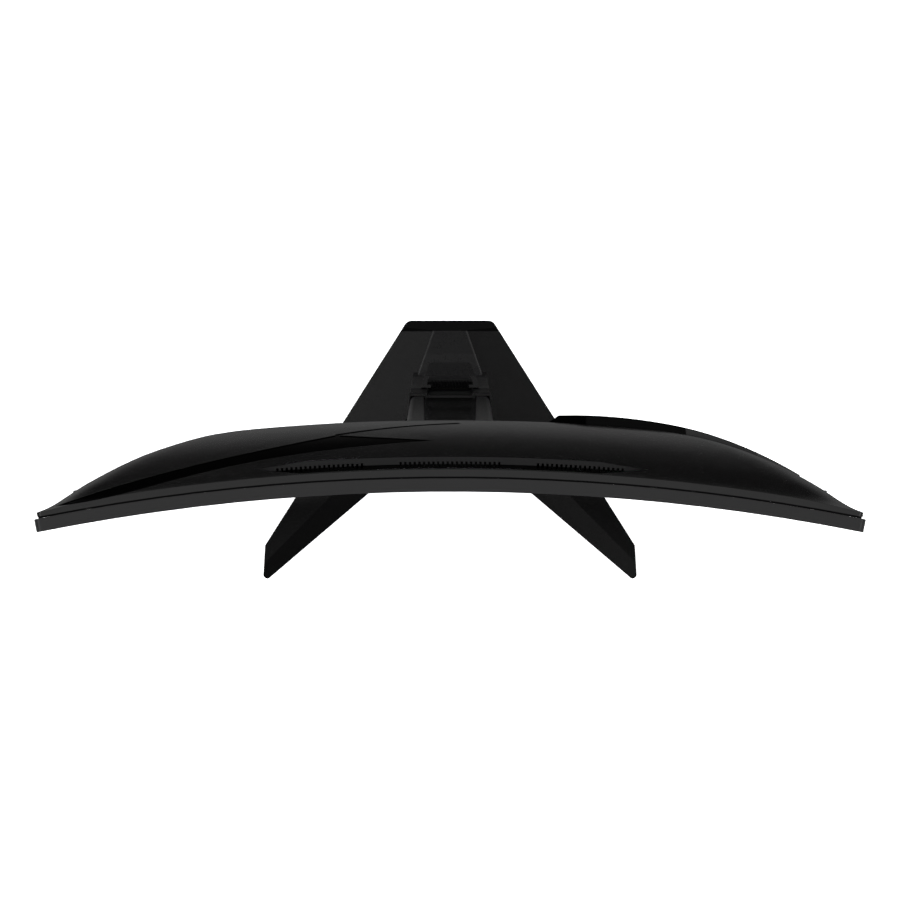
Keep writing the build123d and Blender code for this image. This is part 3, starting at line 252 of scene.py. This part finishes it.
def board(name):
    """Circuit board: green mask over copper tracks, darker in clouds."""
    s = Shader(name)
    tracks = s.add("ShaderNodeTexBrick", {"Vector": s.place, "Scale": 90.0, "Mortar Size": 0.03})
    s.put(tracks.inputs["Color1"], (0.006, 0.055, 0.026, 1))
    s.put(tracks.inputs["Color2"], (0.008, 0.072, 0.034, 1))
    s.put(tracks.inputs["Mortar"], (0.030, 0.115, 0.045, 1))
    cloud = s.noise(9, 4)
    s.put(s.bsdf.inputs["Base Color"], s.mix(s.span(cloud, 0, 0.4), tracks.outputs[0], (0.01, 0.03, 0.02, 1)))
    s.put(s.bsdf.inputs["Roughness"], s.span(cloud, 0.28, 0.42))
    s.put(s.bsdf.inputs["Normal"], s.bump(tracks.outputs["Fac"], 0.04, 0.5, s.rounded(0.2)))
    return s.material


def clear(name, colour, rough):
    """Polished or frosted sheet inside the panel."""
    s = Shader(name)
    cloud = s.noise(20, 3)
    s.put(s.bsdf.inputs["Base Color"], s.mix(s.span(cloud, 0, 1), scaled(colour, 0.94), colour))
    s.put(s.bsdf.inputs["Roughness"], s.span(cloud, rough - 0.04, rough + 0.05))
    s.put(s.bsdf.inputs["Normal"], s.bump(s.noise(0.5, 2), 0.01, 0.2, s.rounded(0.2)))
    return s.material


COVER = moulded("cover_black", grey(0.0018), 0.24, grain_mm=0.55, grain=0.22, wear=0.05, specular=0.37)
FRAME = moulded("frame_black", grey(0.0085), 0.34, grain_mm=0.40, grain=0.30, uneven=0.06,
                wear=0.20, specular=0.26)
# painted shade on the vent's deck below the ledge, standing in for the shade down in the recess
VENT = moulded("vent_black", grey(0.0050), 0.36, grain_mm=0.50, grain=0.35, uneven=0.06,
               wear=0.10, specular=0.17, painted_shade_zone=("Z", 0.4955, 0.4950))
CHIN = moulded("chin_black", grey(0.0070), 0.32, grain_mm=0.35, grain=0.30, uneven=0.05,
               wear=0.15, specular=0.3)
NECK = moulded("neck_black", grey(0.0032), 0.30, grain_mm=0.45, grain=0.30, uneven=0.08,
               wear=0.30, specular=0.15)
SPINE = moulded("spine_black", grey(0.0060), 0.28, grain_mm=0.45, grain=0.30, uneven=0.08,
                wear=0.50, specular=0.20)
# painted shade on the foot's rear strip, standing in for the dark of the steep step behind its top
FOOT = moulded("foot_black", grey(0.0022), 0.22, grain_mm=0.50, grain=0.25, uneven=0.08,
               wear=0.15, specular=0.17, painted_shade_zone=("Y", 0.1005, 0.1015))
RECESS = moulded("recess_black", grey(0.0010), 0.60, grain_mm=0.50, grain=0.30, wear=0.05, specular=0.05)
SOCKET = moulded("socket_black", grey(0.0080), 0.42, grain_mm=0.30, grain=0.30)
ACETAL = moulded("acetal_grey", grey(0.28, (1.0, 0.99, 0.96)), 0.38, grain_mm=0.30, grain=0.2, wear=0.1)
ACCENT = gloss("piano_black", grey(0.0003), 0.04, specular=0.04)
PANEL = gloss("panel_black", grey(0.0008), 0.10, specular=0.2)
GUIDE = moulded("guide_black", grey(0.0045), 0.28, grain_mm=0.50, grain=0.20, uneven=0.06,
                wear=0.8, specular=0.16)
KEYS = moulded("key_black", grey(0.0080), 0.26, grain_mm=0.30, grain=0.20, uneven=0.06, wear=0.5)
SCREEN = screen_glass("switched_off_screen")
ZINC = steel("zinc_plate", grey(0.52, (0.99, 1.0, 1.03)), 0.33)
NICKEL = steel("nickel_plate", grey(0.60, (1.02, 1.0, 0.96)), 0.22, along=(0.05, 0.05, 1.0), spots=0.15)
TURNED = steel("turned_steel", grey(0.50), 0.20, along=(1.0, 0.05, 0.05), spots=0.2)
BLACK_ZINC = steel("black_zinc", grey(0.11), 0.34, along=(1.0, 1.0, 1.0), spots=0.2)
CHROME = steel("hard_chrome", grey(0.62), 0.10, along=(1.0, 1.0, 0.05), spots=0.1, depth=0.2)
POWDER = painted("powder_coat", grey(0.0180), 0.38)
PLATE = painted("plate_paint", grey(0.0120), 0.48)
RUBBER = rubber("black_rubber", grey(0.0120))
RIBBED = rubber("ribbed_pad", grey(0.0012), specular=0.05)
BOARD = board("circuit_board")
FILM = clear("white_film", (0.82, 0.83, 0.83, 1), 0.45)
ACRYLIC = clear("light_guide", (0.80, 0.86, 0.88, 1), 0.10)

FINISH = {
    "front_bezel": FRAME, "chin_trim": CHIN, "mid_frame": RECESS, "lcd_cell": SCREEN,
    "optical_films": FILM, "light_guide_plate": ACRYLIC, "reflector_sheet": FILM, "led_bar": BOARD,
    "backlight_chassis": ZINC, "power_light_pipe": ACRYLIC, "rear_cover": COVER, "vent_grille": VENT,
    "accent_wedge": ACCENT, "accent_fin": ACCENT, "wing_end": COVER, "mount_plate": ZINC, "main_board": BOARD,
    "power_board": BOARD, "tcon_board": BOARD, "shield_can": ZINC, "io_bracket": ZINC,
    "data_sockets": NICKEL, "audio_jack": SOCKET, "dc_inlet": SOCKET, "lock_slot_plate": ZINC,
    "loudspeakers": SOCKET, "key_board": BOARD, "power_button": KEYS, "menu_key_1": KEYS,
    "menu_key_2": KEYS, "menu_key_3": KEYS, "joystick_housing": SOCKET, "joystick_ring": ACETAL,
    "joystick_spindle": ACETAL, "joystick_cap": KEYS, "rear_cover_screws": BLACK_ZINC,
    "tilt_bracket": POWDER, "bracket_screws": BLACK_ZINC, "release_button": KEYS, "slider": POWDER,
    "slider_cover": NECK, "glide_pads": ACETAL, "hinge_shaft": TURNED, "hinge_nuts_and_washers": ZINC,
    "hinge_caps": NECK, "gas_strut_rod": CHROME, "neck_sleeve": NECK, "neck_back_panel": PANEL,
    "guide_rails": ZINC, "gas_strut_cylinder": PLATE, "neck_shroud": NECK, "shroud_rib_pad": RIBBED,
    "cable_guide": GUIDE, "base_cover": FOOT, "base_plate": PLATE, "foot_spine": SPINE,
    "rubber_feet": RUBBER, "column_core": PLATE, "thumb_screw": BLACK_ZINC, "base_screws": BLACK_ZINC,
}

for node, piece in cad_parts.items():
    piece.data.materials.clear()
    piece.data.materials.append(FINISH[node])


# ---------------------------------------------------------------- floor, light and camera
def floor():
    bpy.ops.mesh.primitive_plane_add(size=FLOOR_SIZE, location=(0, 0, 0))
    plane = bpy.context.object
    plane.name = "floor"
    s = Shader("floor_white")
    s.bsdf.inputs["Base Color"].default_value = FLOOR_COLOUR
    s.bsdf.inputs["Roughness"].default_value = 0.9
    s.bsdf.inputs["Specular IOR Level"].default_value = 0.1
    s.bsdf.inputs["Emission Color"].default_value = (1, 1, 1, 1)
    s.bsdf.inputs["Emission Strength"].default_value = FLOOR_GLOW
    plane.data.materials.append(s.material)
    plane.visible_glossy = False


def area_light(name, place, aim, width, height, watts, mirrored):
    data = bpy.data.lights.new(name, "AREA")
    data.shape = "RECTANGLE"
    data.size = width
    data.size_y = height
    data.energy = watts
    lamp = bpy.data.objects.new(name, data)
    bpy.context.collection.objects.link(lamp)
    lamp.location = place
    lamp.visible_glossy = mirrored
    lamp.rotation_euler = (Vector(aim) - Vector(place)).to_track_quat("-Z", "Y").to_euler()


def sky():
    """What the surfaces mirror: soft light overhead, dim at eye level, pale low at the sides.
    The camera sees a plain backdrop."""
    world = bpy.data.worlds.new("studio")
    bpy.context.scene.world = world
    world.use_nodes = True
    w = Nodes(world.node_tree)
    place = w.add("ShaderNodeTexCoord").outputs["Generated"]
    leaning = w.add("ShaderNodeMapping", {"Vector": place, "Rotation": (0, radians(SKY_TILT), 0)}).outputs[0]
    split = w.add("ShaderNodeSeparateXYZ", {0: leaning})
    height = w.span(split.outputs["Z"], 0.0, 1.0, -1.0, 1.0)
    ramp = w.add("ShaderNodeValToRGB", {0: height})
    stops = ramp.color_ramp.elements
    stops[1].position = 1.0
    for at, _ in SKY[1:-1]:
        stops.new(at)
    for stop, (_, level) in zip(stops, SKY):
        stop.color = (level, level, level, 1)
    sideways = w.math("ABSOLUTE", split.outputs["X"])
    side = w.span(sideways, 0.0, SIDE_GLOW, *SIDE_SPAN, kind="SMOOTHSTEP")
    low = w.span(height, 0.0, 1.0, *SIDE_HEIGHTS, kind="SMOOTHSTEP")
    mirrored = w.math("MULTIPLY_ADD", side, low, ramp.outputs[0])
    seen = w.add("ShaderNodeLightPath").outputs["Is Camera Ray"]
    w.put(w.tree.nodes["Background"].inputs["Color"], w.mix(seen, mirrored, BACKDROP))


floor()
sky()
for light in LIGHTS:
    area_light(*light)

bpy.context.scene.view_settings.view_transform = "Standard"

camera_data = bpy.data.cameras.new("camera")
camera_data.type = "ORTHO"
camera_data.ortho_scale = VIEW_WIDTH
camera = bpy.data.objects.new("camera", camera_data)
bpy.context.collection.objects.link(camera)
camera.location = (0, 0, CAMERA_HEIGHT)
camera.rotation_euler = (0, 0, 0)
bpy.context.scene.camera = camera
